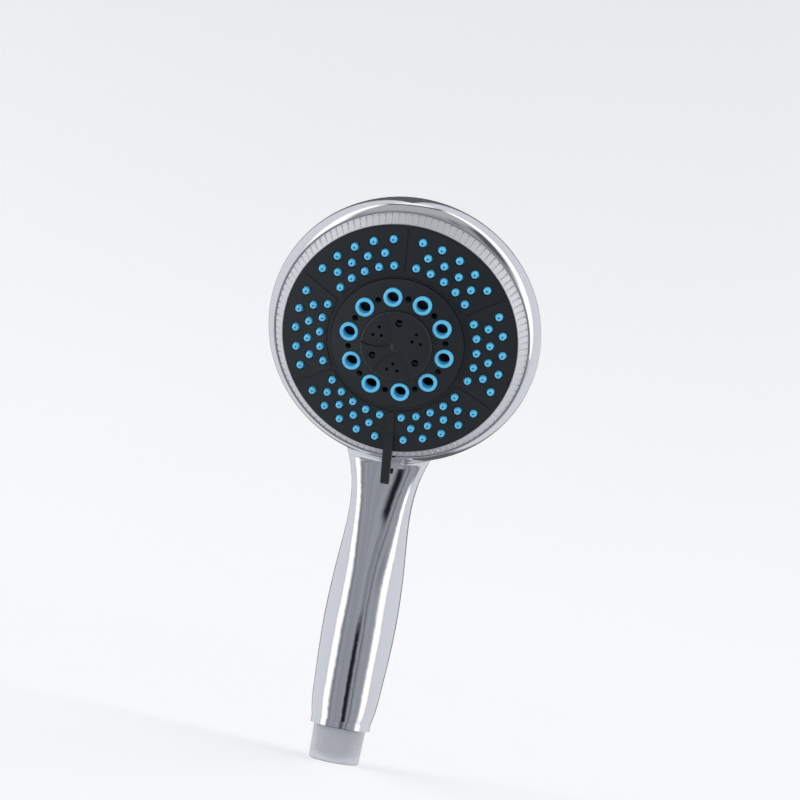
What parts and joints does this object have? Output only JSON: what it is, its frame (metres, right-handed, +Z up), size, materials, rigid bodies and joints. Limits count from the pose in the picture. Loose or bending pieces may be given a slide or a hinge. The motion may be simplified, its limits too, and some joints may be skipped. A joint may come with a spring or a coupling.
{
  "type": "handheld shower head",
  "caption": "Chrome handheld shower with a round multi-spray face, blue silicone nozzles, a turning selector lever, inner waterway and a threaded hose inlet under a cap.",
  "frame": {"origin": "centre of the end face of the hose thread, at the handle's lower end", "axes": "+Z up the handle towards the head, -Y the side the water leaves, +X to the right seen from the front"},
  "size_m": [0.12, 0.0974, 0.2461],
  "materials": {
    "chrome": "polished plating",
    "ring_chrome": "satin, ribbed",
    "dark_plastic": "satin",
    "blue_silicone": "soft satin",
    "cap_plastic": "translucent",
    "grey_plastic": "satin",
    "white_plastic": "satin",
    "green_plastic": "glossy",
    "steel": "brushed",
    "black_rubber": "matt"
  },
  "bodies": {
    "body": {"body_shell": "chrome", "inlet_connector": "grey_plastic", "connector_oring": "black_rubber", "flow_sleeve": "steel", "flow_insert": "green_plastic", "flow_oring": "black_rubber", "inlet_screen": "steel", "water_tube": "grey_plastic", "tube_oring": "black_rubber", "manifold": "white_plastic", "port_plate": "white_plastic", "port_seal": "black_rubber", "port_spring": "steel", "manifold_screws": "steel", "click_spring": "steel", "pivot_washer": "steel", "pivot_screw": "steel", "pivot_oring": "black_rubber"},
    "selector": {"rotor": "white_plastic", "channel_gasket": "black_rubber", "channel_plate": "dark_plastic", "rotor_screws": "steel", "nozzle_mat": "blue_silicone", "face_plate": "dark_plastic", "center_plate": "dark_plastic", "ring_nozzle_mat": "blue_silicone", "center_button": "dark_plastic", "mist_insert": "grey_plastic", "grip_ring": "ring_chrome", "selector_lever": "dark_plastic"},
    "turbine": {"turbine": "dark_plastic"},
    "cap": {"thread_cap": "cap_plastic"}
  },
  "joints": [
    {"name": "selector_turn", "type": "hinge", "parent": "body", "child": "selector", "pos_m": [0, -0.0563, 0.1821], "axis": [0, -0.8988, -0.4384], "range_deg": [-90, 90], "deforming": ["click_spring"]},
    {"name": "turbine_spin", "type": "hinge", "parent": "selector", "child": "turbine", "pos_m": [0, -0.0563, 0.1821], "axis": [0, -0.8988, -0.4384], "continuous": true},
    {"name": "cap_pull", "type": "slide", "parent": "body", "child": "cap", "axis": [0, 0, -1], "range_m": [0, 0.03]}
  ]
}
